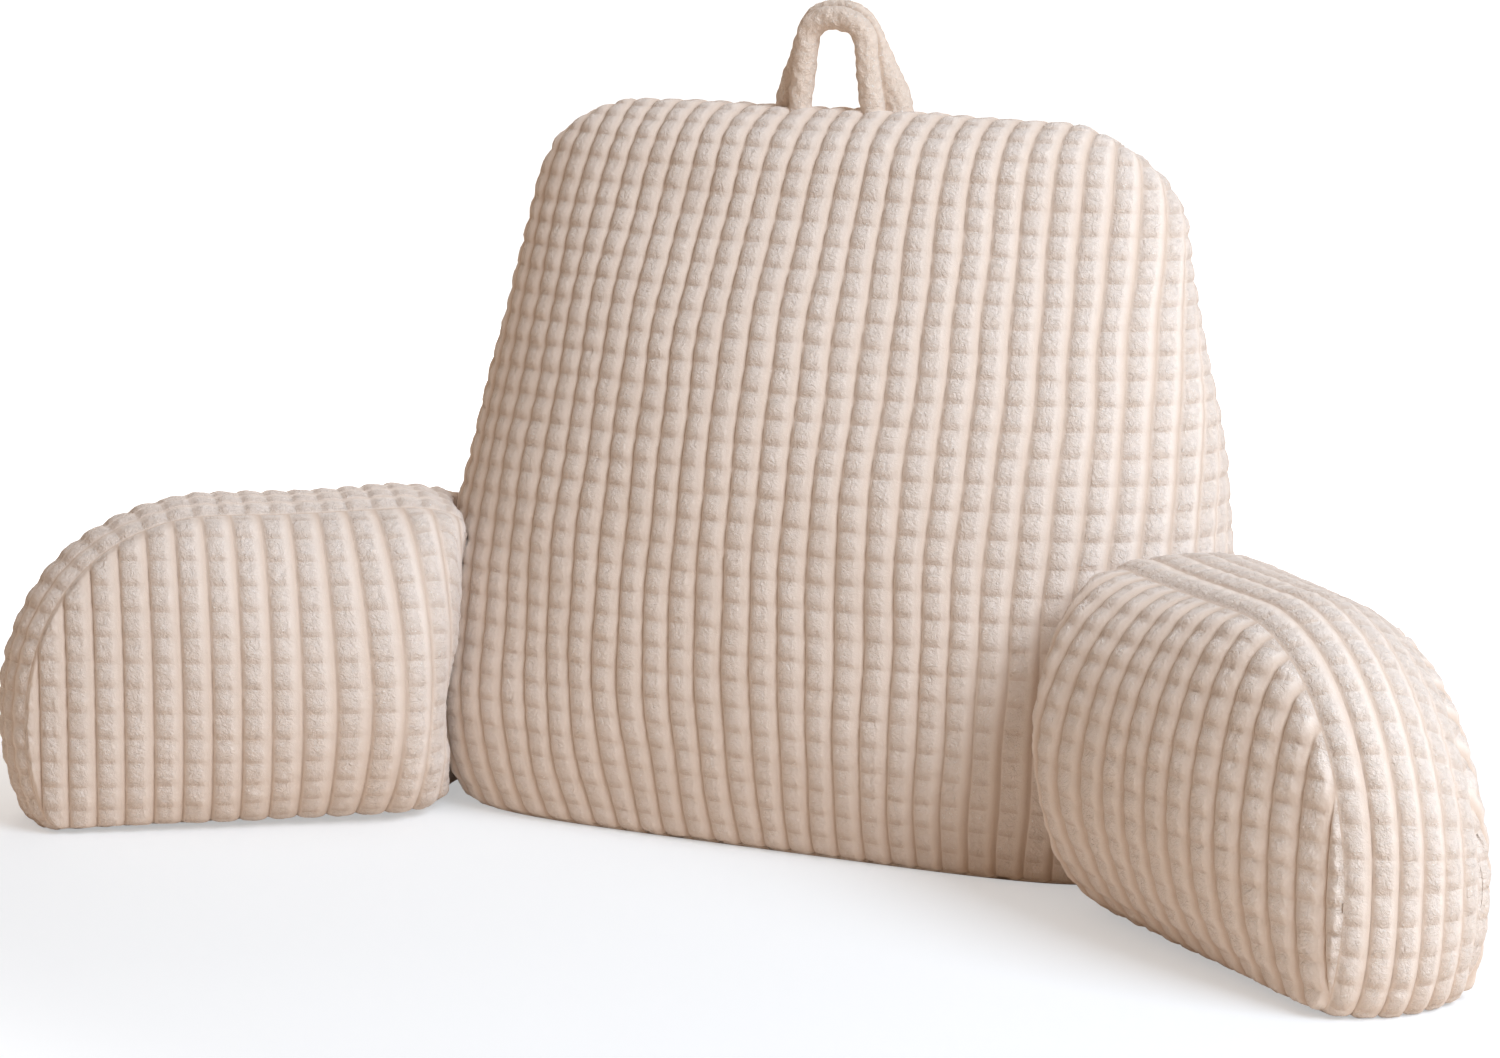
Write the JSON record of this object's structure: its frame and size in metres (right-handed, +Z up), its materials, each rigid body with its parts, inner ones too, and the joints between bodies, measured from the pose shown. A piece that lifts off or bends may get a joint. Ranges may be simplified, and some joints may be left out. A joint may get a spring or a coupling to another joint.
{
  "type": "reading pillow with arms",
  "caption": "Stuffed backrest pillow in wide-ribbed plush, with two padded arms that spread forward and a folded cloth handle on top.",
  "frame": {"origin": "centre of the outline, on the surface that the pillow rests on", "axes": "+Z up, -Y towards the sitter's front where the arms' noses point, +X towards the arm on the viewer's right"},
  "size_m": [1.0476, 0.4122, 0.5609],
  "materials": {
    "ribbed_plush": "soft ribbed plush, matt, cream",
    "plain_plush": "soft short-pile plush, matt, cream"
  },
  "bodies": {
    "root": {"back_cushion": "ribbed_plush", "arm_left": "ribbed_plush", "arm_right": "ribbed_plush", "handle": "plain_plush"}
  },
  "joints": []
}
